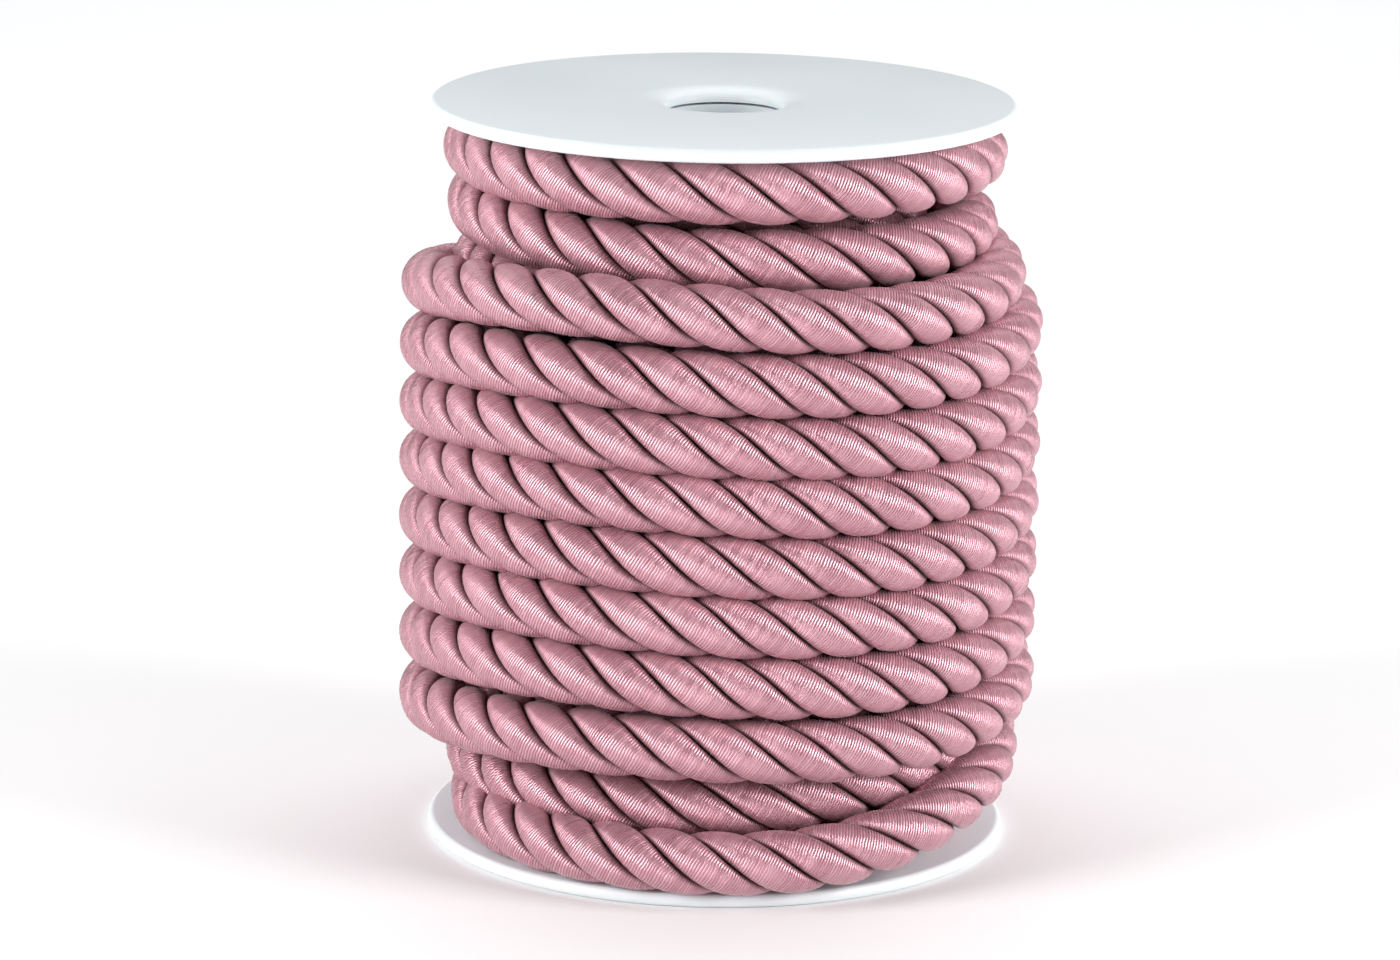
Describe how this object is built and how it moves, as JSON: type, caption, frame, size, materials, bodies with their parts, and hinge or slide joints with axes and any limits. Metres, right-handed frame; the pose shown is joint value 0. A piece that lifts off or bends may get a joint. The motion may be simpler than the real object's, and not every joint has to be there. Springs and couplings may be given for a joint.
{
  "type": "twisted cord trim on a reel",
  "caption": "Thick twisted satin cord trim wound in close rows on a white plastic reel with round flanges and a spindle bore; it stores and pays out the trim.",
  "frame": {"origin": "centre of the reel's base, on the surface it stands on", "axes": "+Z along the reel's axis, up; the side shown in the picture faces -Y"},
  "size_m": [0.0854, 0.0858, 0.1],
  "materials": {
    "cord": "satin, rose pink, wrapped threads with a soft sheen",
    "reel": "smooth white moulded plastic"
  },
  "bodies": {
    "root": {"cord_winding": "cord", "flange_top": "reel", "flange_bottom": "reel", "hub": "reel"}
  },
  "joints": []
}
